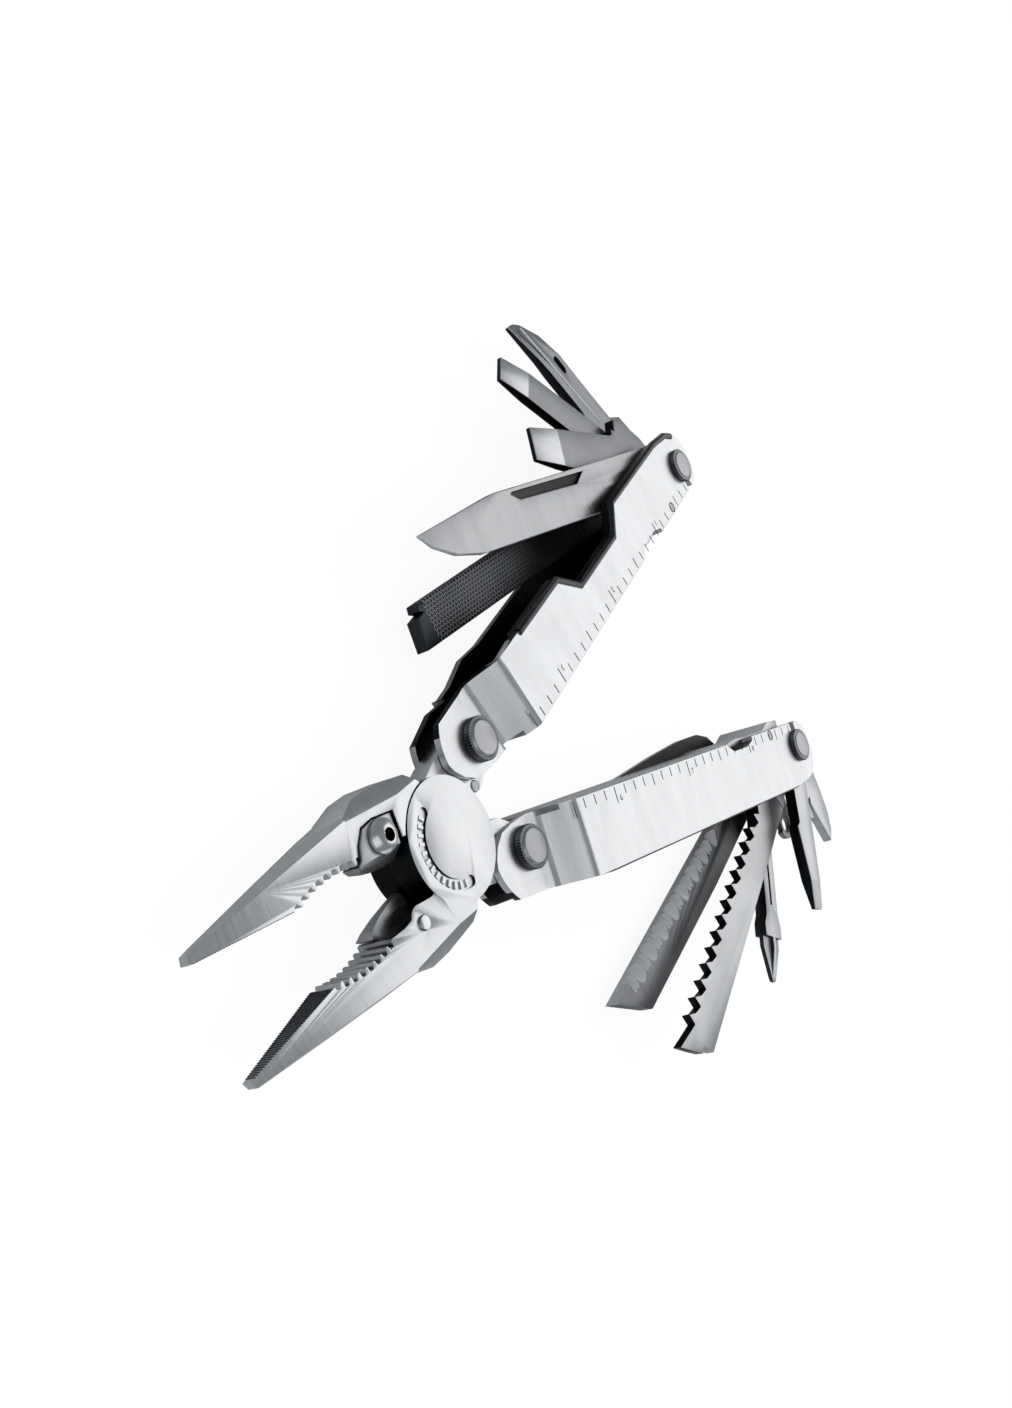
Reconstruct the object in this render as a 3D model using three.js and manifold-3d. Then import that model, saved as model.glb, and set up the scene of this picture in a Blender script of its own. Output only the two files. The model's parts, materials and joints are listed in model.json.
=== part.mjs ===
// A folding multi tool lying on its side with its jaws part open and every tool fanned out.
// Millimetres, +Z up. The origin is the centre of the near face of the pliers joint.
// +X runs from the joint toward the tip of the lower jaw, and all pivots are parallel to Z.
import * as THREE from "three";
import { mergeVertices } from "three/addons/utils/BufferGeometryUtils.js";
import Module from "manifold-3d";

const wasm = await Module();
wasm.setup();

// ---------- driving dimensions ----------
const GAP = 0.12; // side play between pieces that slide on each other
const PLAY = 0.3; // room between pieces that swing past each other in plan

// pliers joint
const BOSS_R = 9.4; // round boss of the joint
const BOSS_TOP = 4.2; // half thickness of the joint
const AXLE_R = 3.4;
const TANG_HALF = 1.8; // half thickness of a jaw tang
const TANG_END_R = 3.7; // rounded end of a tang at its handle pivot
const PIVOT_REACH = 18.7; // joint centre to handle pivot
const TANG_CANT = 15.9; // degrees between a tang and its unfolded handle
const TANG_EDGE = 18.8; // degrees from a tang's centre line to its stop edge
const JAW_AXIS = -13.25; // degrees, centre line of the closed jaws
const JAW_OPEN = 9.25; // degrees each jaw stands off that centre line
const JAW_TIP = 47.8; // joint centre to jaw tip
const TIP_HALF = 0.75; // half thickness of the nose at its tip
const TAPER_START = 8; // where the nose starts to thin, from the joint centre
const TOOTH = { count: 8, pitch: 4.5, height: 0.85 }; // coarse teeth, pitch in degrees of their arc

// handles
const SHEET = 1.2; // sheet thickness of a handle
const HALF_WIDTH = 8.2; // mid-plane to the outer face of a handle
const NECK_HALF = 3.1; // the same at the narrowed neck
const NECK_END = 3.6; // where the neck starts to widen, from the handle pivot
const WIDE_START = 9.4; // where the handle reaches its full width
const SPINE = -5; // outer face of the spine, from the line of pivots
const OPENING = 8; // top of a wall on the open side
const DIP = 3.6; // top of a wall where it is cut away for the blades
const LIP = { start: 16.5, end: 88, width: 1.3, depth: 0.9 }; // edge folded in along an opening
const TOOL_PIVOT = 92.3; // handle pivot to tool pivot
const TOOL_END_R = 6.2;
const HANDLE_END = TOOL_PIVOT + 6;

// rivets
const NECK_RIVET = { shaft: 2, head: 3.05, height: 1.5 };
const TOOL_RIVET = { shaft: 1.8, head: 2.85, height: 1 };
const HEEL_R = 3.9; // round of a tool at its pivot
const LOCK_PIN = { x: 81.3, y: -3.85, r: 0.9 };

// ---------- solids ----------
function solid(geometry) {
  geometry.deleteAttribute("normal");
  geometry.deleteAttribute("uv");
  const merged = mergeVertices(geometry, 1e-4);
  return new wasm.Manifold(
    new wasm.Mesh({
      numProp: 3,
      vertProperties: new Float32Array(merged.attributes.position.array),
      triVerts: new Uint32Array(merged.index.array),
    }),
  );
}

const radians = THREE.MathUtils.degToRad;

function shapeOf(points, flip = 1) {
  return new THREE.Shape(points.map(([x, y]) => new THREE.Vector2(x, y * flip)));
}

// An outline in XY, extruded from z = low to z = high.
function plate(points, low, high, flip = 1) {
  const made = new THREE.ExtrudeGeometry(shapeOf(points, flip), {
    depth: high - low,
    bevelEnabled: false,
  });
  return solid(made.translate(0, 0, low));
}

// An outline in XZ, extruded from y = low to y = high.
function sidePlate(points, low, high) {
  const made = new THREE.ExtrudeGeometry(shapeOf(points), {
    depth: high - low,
    bevelEnabled: false,
  });
  return solid(made.rotateX(Math.PI / 2).translate(0, high, 0));
}

function disc(radius, low, high, x = 0, y = 0, sides = 32) {
  const made = new THREE.CylinderGeometry(radius, radius, high - low, sides);
  return solid(made.rotateX(Math.PI / 2).translate(x, y, (low + high) / 2));
}

function block(x0, x1, y0, y1, z0, z1) {
  const made = new THREE.BoxGeometry(x1 - x0, y1 - y0, z1 - z0);
  return solid(made.translate((x0 + x1) / 2, (y0 + y1) / 2, (z0 + z1) / 2));
}

// A turned piece about Z from [radius, z] pairs that start and end on the axis.
function turned(profile, x = 0, y = 0, sides = 32) {
  const points = profile.map(([r, z]) => new THREE.Vector2(r, z));
  const made = new THREE.LatheGeometry(points, sides);
  return solid(made.rotateX(Math.PI / 2).translate(x, y, 0));
}

// Points on an arc, in degrees, both ends included.
function arc(cx, cy, r, from, to, steps = 8) {
  return Array.from({ length: steps + 1 }, (_, i) => {
    const a = radians(from + ((to - from) * i) / steps);
    return [cx + r * Math.cos(a), cy + r * Math.sin(a)];
  });
}

function join(first, ...rest) {
  return rest.reduce((sum, piece) => sum.add(piece), first);
}

function cut(first, ...rest) {
  return rest.reduce((left, piece) => left.subtract(piece), first);
}

const part = new THREE.Group();

function add(group, name, made, color, roughness = 0.35, metalness = 1) {
  const found = made.getMesh();
  const geometry = new THREE.BufferGeometry();
  const position = new Float32Array(found.vertProperties);
  geometry.setAttribute("position", new THREE.BufferAttribute(position, 3));
  geometry.setIndex(new THREE.BufferAttribute(new Uint32Array(found.triVerts), 1));
  geometry.computeVertexNormals();
  const material = new THREE.MeshStandardMaterial({ color, roughness, metalness });
  const mesh = new THREE.Mesh(geometry, material);
  mesh.name = name;
  group.add(mesh);
}

const STEEL = "#c9cacc";
const BRIGHT = "#e2e3e5";
const GREY = "#8b8e92";
const DARK = "#3c4043";

// ---------- pliers ----------
// Slanted teeth along the hollow of a jaw, walked from its tip side to the joint.
function coarseTeeth() {
  const { count, pitch, height } = TOOTH;
  const hollow = { x: 21.5, y: -16.6, r: 20, start: 61.6 };
  return Array.from({ length: count }, (_, i) => {
    const turn = hollow.start + i * pitch;
    return [
      ...arc(hollow.x, hollow.y, hollow.r, turn, turn + 0.4 * pitch, 1),
      ...arc(hollow.x, hollow.y, hollow.r - height, turn + 0.55 * pitch, turn + 0.85 * pitch, 1),
    ];
  }).flat();
}

// Both halves are the same shape, the upper one turned over about the centre line of the closed jaws.
// In a jaw's own frame X runs to the tip, +Y is its own side and its half of the boss is above z = 0.
const JAW_OUTLINE = [
  [2.6, 9.2],
  [4.6, 11.2],
  [11.1, 11.3],
  [15, 10.7],
  [18.4, 8.9],
  [24, 8.1],
  [31, 6.3],
  [39, 4.4],
  [46.4, 2.3],
  [JAW_TIP, 1.3],
  [JAW_TIP + 0.2, 0.2],
  [31, 0.55],
  ...coarseTeeth(),
  [16.6, 2.9],
  [15.2, 2.9],
  ...arc(13.2, 3.8, 1.9, -30, -120, 4),
  [9.8, 2.9],
  [7, 2.9],
  [-4, 8],
];
const CUTTER_OUTLINE = [
  [10, 1.4],
  [10.4, 0.6],
  [12.3, 0.45],
  [16, 0.6],
  [18.4, 1.2],
  [19.2, 2],
  [18.3, 2.8],
  [17.7, 4.6],
  [16.3, 6.6],
  [14, 7.2],
  [10, 7.2],
];
const CUTTER_SCREW = { x: 13.3, y: 4.6, shaft: 1, head: 2.6 };

function grown(points, by) {
  const cx = points.reduce((sum, p) => sum + p[0], 0) / points.length;
  const cy = points.reduce((sum, p) => sum + p[1], 0) / points.length;
  return points.map(([x, y]) => {
    const far = Math.hypot(x - cx, y - cy);
    return [x + ((x - cx) * by) / far, y + ((y - cy) * by) / far];
  });
}

// The tang of a jaw: a plate from the boss to the handle pivot, stopping short of the other tang.
function tang(direction, stopSide) {
  const a = radians(direction);
  const along = [Math.cos(a), Math.sin(a)];
  const side = [-Math.sin(a) * stopSide, Math.cos(a) * stopSide];
  const at = (x, y) => [along[0] * x + side[0] * y, along[1] * x + side[1] * y];
  const slope = Math.tan(radians(TANG_EDGE));
  const outline = [
    at(2, 2 * slope),
    at(13.6, 13.6 * slope),
    ...arc(0, 0, TANG_END_R, 80, -90, 14).map(([x, y]) => at(PIVOT_REACH + x, y)),
    at(9.6, -6),
    at(2, -7),
  ];
  return plate(outline, -TANG_HALF, TANG_HALF);
}

// All that lies beyond a plane given by three of its points, on the side away from the joint.
function beyond(...points) {
  const [a, b, c] = points.map((point) => new THREE.Vector3(...point));
  const plane = new THREE.Plane().setFromCoplanarPoints(a, b, c);
  if (plane.constant > 0) plane.negate();
  const turn = new THREE.Quaternion().setFromUnitVectors(new THREE.Vector3(0, 0, 1), plane.normal);
  const bulk = new THREE.BoxGeometry(160, 160, 30).translate(0, 0, 15).applyQuaternion(turn);
  return solid(bulk.translate(a.x, a.y, a.z));
}

// The bevels along the back of a jaw, on both faces: a broad one by the joint and a slim one on the nose.
function jawBevels() {
  return [1, -1].flatMap((face) => [
    beyond([19, 8.2, 3.3 * face], [5, 9.5, 4.3 * face], [11, 11.3, 2.4 * face]).intersect(
      block(2.6, 18.5, 5, 14, -6, 6),
    ),
    beyond([24, 7.2, 2.8 * face], [46.7, 1.6, 0.8 * face], [24, 8.2, 0.6 * face]).intersect(
      block(18.4, 60, 0, 14, -6, 6),
    ),
  ]);
}

function jaw(tangDirection, stopSide) {
  const taper = [
    [-30, BOSS_TOP],
    [TAPER_START, BOSS_TOP],
    [JAW_TIP + 0.3, TIP_HALF],
    [JAW_TIP + 0.3, -TIP_HALF],
    [TAPER_START, -BOSS_TOP],
    [-30, -BOSS_TOP],
  ];
  const blank = plate(JAW_OUTLINE, -BOSS_TOP, BOSS_TOP).intersect(sidePlate(taper, -1, 13));
  const nose = cut(blank, ...jawBevels());
  const pocket = plate(grown(CUTTER_OUTLINE, PLAY), -BOSS_TOP - 1, 0.05);
  const open = block(9, 18.9, -1, 3.4, -BOSS_TOP - 1, 0.05);
  const pivot = new THREE.Vector2(PIVOT_REACH, 0).rotateAround(
    new THREE.Vector2(),
    radians(tangDirection),
  );
  const body = join(nose, disc(BOSS_R, 0.05, BOSS_TOP, 0, 0, 64), tang(tangDirection, stopSide));
  return cut(
    body,
    disc(BOSS_R + PLAY, -BOSS_TOP - 1, 0.05, 0, 0, 64),
    pocket,
    open,
    disc(AXLE_R + GAP, -1, 3.2),
    disc(NECK_RIVET.shaft + GAP, -6, 6, pivot.x, pivot.y),
    disc(CUTTER_SCREW.shaft + GAP, -6, 6, CUTTER_SCREW.x, CUTTER_SCREW.y, 20),
  );
}

function cutter() {
  const bevel = sidePlateAlongEdge();
  return cut(
    plate(CUTTER_OUTLINE, -3.7, -0.3),
    bevel,
    disc(CUTTER_SCREW.shaft + GAP, -6, 1, CUTTER_SCREW.x, CUTTER_SCREW.y, 20),
  );
}

// The wedge that is ground away along the edge of a cutter.
function sidePlateAlongEdge() {
  const wedge = new THREE.ExtrudeGeometry(
    shapeOf([
      [-0.5, -4.5],
      [2.6, -4.5],
      [-0.5, -1.2],
    ]),
    { depth: 16, bevelEnabled: false },
  );
  wedge.rotateX(Math.PI / 2).rotateZ(Math.PI / 2);
  return solid(wedge.rotateZ(radians(-4)).translate(7, 1.1, 0));
}

function cutterScrew() {
  const { shaft, head } = CUTTER_SCREW;
  const profile = [
    [0, -5.3],
    [1, -5.3],
    [1.9, -5],
    [head, -4.3],
    [head, -3.82],
    [shaft, -3.82],
    [shaft, BOSS_TOP - 0.15],
    [0, BOSS_TOP - 0.15],
  ];
  const star = [0, 60, 120].map((turn) => {
    const spoke = new THREE.BoxGeometry(1.9, 0.5, 1.2).rotateZ(radians(turn));
    return solid(spoke.translate(CUTTER_SCREW.x, CUTTER_SCREW.y, -5.2));
  });
  return cut(turned(profile, CUTTER_SCREW.x, CUTTER_SCREW.y, 28), ...star);
}

// The sunken curved panel on the face of the lower half of the boss.
function bossPanel(turn) {
  const half = 0.85;
  const outline = [
    ...arc(0, 0, 6.6 + half, turn - 74, turn + 74, 24),
    ...arc(0, 0, 6.6 - half, turn + 74, turn - 74, 24),
  ];
  const ends = [-74, 74].map((a) => {
    const t = radians(turn + a);
    return disc(half, BOSS_TOP - 0.4, BOSS_TOP + 1, 6.6 * Math.cos(t), 6.6 * Math.sin(t), 16);
  });
  return join(plate(outline, BOSS_TOP - 0.4, BOSS_TOP + 1), ...ends);
}

const UNFOLDED_A = 180; // direction of handle A from its pivot
const TANG_A = UNFOLDED_A + TANG_CANT;
const UNFOLDED_B = 152.6;
const TANG_B = UNFOLDED_B - TANG_CANT;
const LOWER_TURN = JAW_AXIS + JAW_OPEN;
const UPPER_TURN = JAW_AXIS - JAW_OPEN;

const lower = new THREE.Group();
lower.rotation.z = radians(LOWER_TURN);
const upper = new THREE.Group();
upper.rotation.order = "ZYX";
upper.rotation.set(Math.PI, 0, radians(UPPER_TURN));
part.add(lower, upper);

const STOP_PIN = { reach: 12.9, turn: 181.3, r: 0.9 };
const stopAngle = radians(STOP_PIN.turn - LOWER_TURN);
const stopAt = [STOP_PIN.reach * Math.cos(stopAngle), STOP_PIN.reach * Math.sin(stopAngle)];
const lowerJaw = cut(
  jaw(TANG_A - LOWER_TURN, -1),
  bossPanel(-LOWER_TURN),
  disc(STOP_PIN.r + GAP, -4, 4, stopAt[0], stopAt[1], 20),
);
add(lower, "lower_jaw", lowerJaw, STEEL, 0.3);
// The upper half is turned over, so its tang is measured the other way round.
add(upper, "upper_jaw", jaw(UPPER_TURN - TANG_B, -1), STEEL, 0.3);
for (const [group, side] of [
  [lower, "lower"],
  [upper, "upper"],
]) {
  add(group, side + "_cutter", cutter(), GREY, 0.4);
  add(group, side + "_cutter_screw", cutterScrew(), BRIGHT, 0.25);
}
add(lower, "stop_pin", disc(STOP_PIN.r, -1.9, 1.9, stopAt[0], stopAt[1], 20), GREY, 0.4);
add(lower, "main_axle", disc(AXLE_R, -3.1, 3.1), GREY, 0.4);

// ---------- handles ----------
// In a handle's own frame X runs from its pliers pivot to its tool pivot; "side" turns +Y to its open side.
// The S-shaped bend from the neck to the full width, "inward" millimetres inside the outer face.
function neckBend(inward, steps = 10) {
  const run = WIDE_START - NECK_END;
  const rise = HALF_WIDTH - NECK_HALF;
  return Array.from({ length: steps + 1 }, (_, i) => {
    const t = i / steps;
    const slope = (rise / run) * 6 * t * (1 - t);
    const across = inward / Math.hypot(1, slope);
    const z = NECK_HALF + rise * (3 * t * t - 2 * t * t * t);
    return [NECK_END + run * t + slope * across, z - across];
  });
}

const WALL_PROFILE = [
  [-12, NECK_HALF],
  ...neckBend(0),
  [HANDLE_END + 2, HALF_WIDTH],
  [HANDLE_END + 2, HALF_WIDTH - SHEET],
  ...neckBend(SHEET).reverse(),
  [-12, NECK_HALF - SHEET],
];

const NECK_OUTLINE = [
  [1.5, SPINE],
  [-2.4, SPINE + 0.7],
  [-5.2, -3.5],
  [-7.2, -1.7],
  [-8.3, 0.2],
  ...arc(0, 0, 8.75, 170, 128, 6),
];

const TOOL_END_OUTLINE = [
  ...arc(HANDLE_END - TOOL_END_R, OPENING - TOOL_END_R - 0.8, TOOL_END_R, 90, 8, 8),
  ...arc(HANDLE_END - 4.4, SPINE + 4, 4, 0, -90, 6),
];

// A wall cut away between two places for the blades, given from the pliers end.
function wallOutline(dipStart, dipEnd) {
  return [
    ...NECK_OUTLINE,
    [2, 7.1],
    [8, 7.6],
    [14, OPENING],
    [dipStart - 5.5, OPENING],
    [dipStart, DIP],
    [dipEnd, DIP],
    [dipEnd + 5.5, OPENING],
    [HANDLE_END - 12, OPENING],
    ...TOOL_END_OUTLINE,
  ];
}

const STRAIGHT_OUTLINE = [
  ...NECK_OUTLINE,
  [2, 7.1],
  [8, 7.6],
  [14, OPENING],
  [HANDLE_END - 12, OPENING],
  ...TOOL_END_OUTLINE,
];

// The far wall of handle A is low all along the long tools.
const LOW_OUTLINE = [
  ...NECK_OUTLINE.slice(0, -2),
  [0, 6.6],
  [5, 5.8],
  [10, 4.1],
  [13.5, 4.2],
  [19.8, 5.4],
  [26, 4.7],
  [56, 4.8],
  [61.5, OPENING],
  [HANDLE_END - 12, OPENING],
  ...TOOL_END_OUTLINE,
];

// A raised thumb rest on the spine side of a far wall.
const THUMB_REST = [
  [46, SPINE + 1],
  [46, SPINE],
  [60, SPINE - 1.8],
  [72, SPINE - 3],
  [80, SPINE - 3.1],
  [84, SPINE - 2],
  [86.5, SPINE],
  [86.5, SPINE + 1],
];

function wall(outline, face, side) {
  const profile = WALL_PROFILE.map(([x, z]) => [x, z * face]);
  return plate(outline, -HALF_WIDTH - 1, HALF_WIDTH + 1, side).intersect(
    sidePlate(profile, -12, 12),
  );
}

const LOCK = { start: 65.5, end: 84.5, half: 5.6 }; // slot in the spine for the rocker
const TONGUE = { start: 40, half: 2.6, slot: 0.6 }; // spring tongue that backs the rocker

// The edge of a near wall folded in along its opening, following the same steps as the wall.
function lip(dipStart, dipEnd, side) {
  const edge = [
    [LIP.start, OPENING],
    [dipStart - 5.5, OPENING],
    [dipStart, DIP],
    [dipEnd, DIP],
    [dipEnd + 5.5, OPENING],
    [HANDLE_END - 12, OPENING],
    [LIP.end, OPENING - 0.3],
  ];
  const inner = edge.map(([x, y]) => [x, y - LIP.width]).reverse();
  const face = HALF_WIDTH - SHEET;
  return plate([...edge, ...inner], face - LIP.depth, face + 0.2, side);
}

function spineY(low, high, side) {
  return side > 0 ? [low, high] : [-high, -low];
}

function channel(side, nearOutline, farOutline, extra) {
  const spineProfile = [
    [1.5, -NECK_HALF],
    ...neckBend(0).map(([x, z]) => [x, -z]),
    [LOCK.end, -HALF_WIDTH],
    [LOCK.end, HALF_WIDTH],
    ...neckBend(0).reverse(),
    [1.5, NECK_HALF],
  ];
  const spine = sidePlate(spineProfile, ...spineY(SPINE, SPINE + SHEET, side));
  const through = spineY(SPINE - 1, SPINE + SHEET + 0.5, side);
  const inner = TONGUE.half + TONGUE.slot;
  const stopNotch = block(91.4, 93.4, ...spineY(SPINE - 1, SPINE + 1.9, side), -12, 12);
  const neckNotch = block(4.2, 6.8, ...spineY(SPINE - 1, SPINE + 0.9, side), -12, 12);
  const leverWindow = plate(
    [
      [62.4, SPINE - 1],
      [62.4, SPINE + 0.2],
      [64.6, SPINE + 1.7],
      [70.4, SPINE + 1.7],
      [73.2, SPINE + 0.8],
      [73.2, SPINE - 1],
    ],
    LOCK.half + PLAY,
    12,
    side,
  );
  return cut(
    join(wall(nearOutline, 1, side), wall(farOutline, -1, side), spine, extra),
    stopNotch,
    neckNotch,
    leverWindow,
    block(LOCK.start, LOCK.end + 1, ...through, -LOCK.half - PLAY, LOCK.half + PLAY),
    block(TONGUE.start, LOCK.start + 1, ...through, TONGUE.half, inner),
    block(TONGUE.start, LOCK.start + 1, ...through, -inner, -TONGUE.half),
    disc(NECK_RIVET.shaft + GAP, -12, 12),
    disc(TOOL_RIVET.shaft + GAP, -12, 12, TOOL_PIVOT, 0),
    disc(LOCK_PIN.r + GAP, -12, 12, LOCK_PIN.x, LOCK_PIN.y * side, 20),
  );
}

function rivet({ shaft, head, height }, face, x) {
  const edge = 0.35;
  const under = face + GAP;
  const top = under + height;
  const profile = [
    [0, -top],
    [head - edge, -top],
    [head, -top + edge],
    [head, -under],
    [shaft, -under],
    [shaft, under],
    [head, under],
    [head, top - edge],
    [head - edge, top],
    [0, top],
  ];
  return turned(profile, x, 0, 36);
}

// The rocker fills the window in the spine; its nose reaches over the tool pivot.
function rocker(side) {
  const outline = [
    [LOCK.start + PLAY, SPINE + 0.2],
    [LOCK.start + 6, SPINE - 0.4],
    [76, SPINE - 0.1],
    [84, SPINE - 0.2],
    [87, SPINE - 1.5],
    [91.2, SPINE - 1.3],
    [91.2, SPINE + 0.7],
    [86.4, SPINE + 0.9],
    [84.2, SPINE + 2.4],
    [79, SPINE + 2.4],
    [76, SPINE + 1.1],
    [LOCK.start + PLAY, SPINE + 1.1],
  ];
  return cut(
    plate(outline, -LOCK.half, LOCK.half, side),
    disc(LOCK_PIN.r + GAP, -12, 12, LOCK_PIN.x, LOCK_PIN.y * side, 20),
  );
}

function washer(low, high) {
  return cut(
    disc(3.6, low, high, TOOL_PIVOT, 0, 28),
    disc(TOOL_RIVET.shaft + GAP, low - 1, high + 1, TOOL_PIVOT, 0),
  );
}

function handle(letter, side, tangDirection, unfolded, near, far, extra) {
  const group = new THREE.Group();
  const pivot = radians(tangDirection);
  group.position.set(PIVOT_REACH * Math.cos(pivot), PIVOT_REACH * Math.sin(pivot), 0);
  group.rotation.z = radians(unfolded);
  part.add(group);
  const named = (what) => "handle_" + letter + "_" + what;
  add(group, named("channel"), channel(side, near, far, extra), STEEL, 0.3);
  add(group, named("neck_rivet"), rivet(NECK_RIVET, NECK_HALF, 0), BRIGHT, 0.3);
  add(group, named("tool_rivet"), rivet(TOOL_RIVET, HALF_WIDTH, TOOL_PIVOT), GREY, 0.35);
  add(group, named("rocker_lock"), rocker(side), STEEL, 0.35);
  const pin = disc(LOCK_PIN.r, -HALF_WIDTH, HALF_WIDTH, LOCK_PIN.x, LOCK_PIN.y * side, 20);
  add(group, named("lock_pin"), pin, BRIGHT, 0.3);
  return group;
}

const handleA = handle(
  "a",
  1,
  TANG_A,
  UNFOLDED_A,
  wallOutline(39, 56.5),
  LOW_OUTLINE,
  lip(39, 56.5, 1),
);
const handleB = handle(
  "b",
  -1,
  TANG_B,
  UNFOLDED_B,
  STRAIGHT_OUTLINE,
  wallOutline(39, 56.5),
  plate(THUMB_REST, -HALF_WIDTH, -HALF_WIDTH + SHEET, -1),
);
add(handleA, "handle_a_near_spacer", washer(6, 6.88), BRIGHT);
add(handleA, "handle_a_far_spacer", washer(-6.88, -6), BRIGHT);

// ---------- folding tools ----------
// In a tool's own frame X runs to its tip and +Y is the side that faces out of a closed handle.
function toolGroup(handleGroup, side, opened) {
  const group = new THREE.Group();
  group.position.set(TOOL_PIVOT, 0, 0);
  group.rotation.z = Math.PI - radians(opened) * side;
  handleGroup.add(group);
  return { group, flip: -side };
}

// Walks an outline round the pivot: the round heel, the notch that clears the rocker's nose, then the points given.
function withHeel(points, from = 90, to = 290) {
  return [...arc(0, 0, HEEL_R, from, to, 13), [5.6, -3.4], [6.6, -2.3], [16, -2.3], ...points];
}

function flatTool(tool, outline, low, high) {
  return cut(
    plate(outline, low, high, tool.flip),
    disc(TOOL_RIVET.shaft + GAP, low - 1, high + 1),
  );
}

// A wedge that thins a tool toward its tip on both faces, starting at x = from.
function tipGrind(from, to, middle, half, tipHalf) {
  const lean = (face) =>
    sidePlate(
      [
        [from, middle + face * (half + 0.01)],
        [to, middle + face * tipHalf],
        [to + 5, middle + face * tipHalf],
        [to + 5, middle + face * (half + 4)],
        [from, middle + face * (half + 4)],
      ],
      -20,
      20,
    );
  return [lean(1), lean(-1)];
}

// A ground bevel on both faces of a blade, from y = start down to the edge at y = edge.
function edgeGrind(tool, x0, x1, start, edge, middle, half, edgeHalf) {
  const lean = (face) => {
    const section = [
      [start, middle + face * (half + 0.01)],
      [edge - 0.6, middle + face * (edgeHalf - 0.1)],
      [edge - 9, middle + face * (edgeHalf - 0.1)],
      [edge - 9, middle + face * (half + 3)],
      [start, middle + face * (half + 3)],
    ].map(([y, z]) => [y * tool.flip, z]);
    const made = new THREE.ExtrudeGeometry(shapeOf(section), {
      depth: x1 - x0,
      bevelEnabled: false,
    });
    // section x becomes Y and section y becomes Z, so the bevel runs along X
    made.rotateX(Math.PI / 2).rotateZ(Math.PI / 2).translate(x1, 0, 0);
    return solid(made);
  };
  return [lean(1), lean(-1)];
}

function knife(tool, low, high) {
  const middle = (low + high) / 2;
  const half = (high - low) / 2;
  const outline = withHeel([
    [17, -3.4],
    [70, -3.2],
    [77, -2],
    [82, 0.2],
    [84.7, 2.6],
    [62.6, 5.5],
    [4, 5.9],
  ]);
  const nick = plate(
    [
      [32.6, 4.8],
      [36, 2.9],
      [55.6, 3.2],
      [57.8, 4.4],
      [57.2, 4.8],
    ],
    high - 0.7,
    high + 1,
    tool.flip,
  );
  return cut(
    flatTool(tool, outline, low, high),
    ...edgeGrind(tool, 17, 90, -1.7, -3.5, middle, half, 0.2),
    ...tipGrind(56, 85, middle, half, 0.3),
    nick,
  );
}

function file(tool, low, high) {
  const outline = withHeel([
    [17, -3.5],
    [83.2, -3.4],
    [82.2, 1.6],
    [79.8, 2.1],
    [80.9, 2.6],
    [80.5, 3.8],
    [58, 4.1],
    [10, 4.6],
  ]);
  return flatTool(tool, outline, low, high);
}

function screwdriver(tool, low, high, length, tipLow, tipHigh, rootLow, rootHigh, grind, lug) {
  const middle = (low + high) / 2;
  const outline = withHeel([
    [17, rootLow],
    [length, tipLow],
    [length, tipHigh],
    ...lug,
    [4, rootHigh],
  ]);
  return cut(
    flatTool(tool, outline, low, high),
    ...tipGrind(length - grind, length, middle, (high - low) / 2, 0.45),
  );
}

function awl(tool, low, high) {
  const middle = (low + high) / 2;
  const outline = withHeel([
    [20, -0.4],
    [34, -0.8],
    [43.2, -2],
    [42.6, 0],
    [41.2, 1.6],
    [36.2, 4.5],
    [30, 5.8],
    [24, 5.9],
    [13, 6.4],
    [10.6, 9.4],
    [7, 9.8],
  ]);
  const eye = join(
    disc(0.8, low - 1, high + 1, 28, 3.7 * tool.flip, 16),
    disc(0.8, low - 1, high + 1, 30.5, 3.7 * tool.flip, 16),
    plate(
      [
        [28, 2.9],
        [30.5, 2.9],
        [30.5, 4.5],
        [28, 4.5],
      ],
      low - 1,
      high + 1,
      tool.flip,
    ),
  );
  return cut(
    flatTool(tool, outline, low, high),
    ...tipGrind(30, 43, middle, (high - low) / 2, 0.35),
    eye,
  );
}

// One hollow of a serrated edge, ground into the near face by a wheel of the given radius.
function scallop(tool, x, radius, reach, low, high) {
  const lean = Math.atan2(high - low - 0.3, reach + 2.4);
  const round = new THREE.CylinderGeometry(radius, radius, 24, 24).translate(0, 0, radius);
  const above = new THREE.BoxGeometry(2 * radius, 24, 8).translate(0, 0, radius + 4);
  const [rounded, open] = [round, above].map((piece) =>
    solid(piece.rotateX(lean * tool.flip).translate(x, reach * tool.flip, high)),
  );
  return join(rounded, open);
}

function serratedKnife(tool, low, high) {
  // one broad hollow, then two narrow ones, over and over
  const edgeAt = (x) => 0.3 - 0.0435 * (x - 22);
  const hollows = [];
  for (let i = 0; i < 8; i++) {
    const x = 26.6 + i * 5.9;
    hollows.push(scallop(tool, x, 2.1, edgeAt(x) + 2.9, low, high));
    for (const next of [2.5, 3.6]) {
      hollows.push(scallop(tool, x + next, 0.62, edgeAt(x) + 2.2, low, high));
    }
  }
  const outline = withHeel([
    [21, -0.2],
    [22.4, 0.2],
    [77.6, -2.2],
    [70.4, 5.5],
    [34, 7.2],
    [6, 7.6],
  ]);
  const nick = plate(
    [
      [31, 7],
      [34, 5.7],
      [46, 5.4],
      [48, 7],
    ],
    low - 1,
    low + 0.7,
    tool.flip,
  );
  return cut(
    flatTool(tool, outline, low, high),
    ...hollows,
    nick,
  );
}

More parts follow.
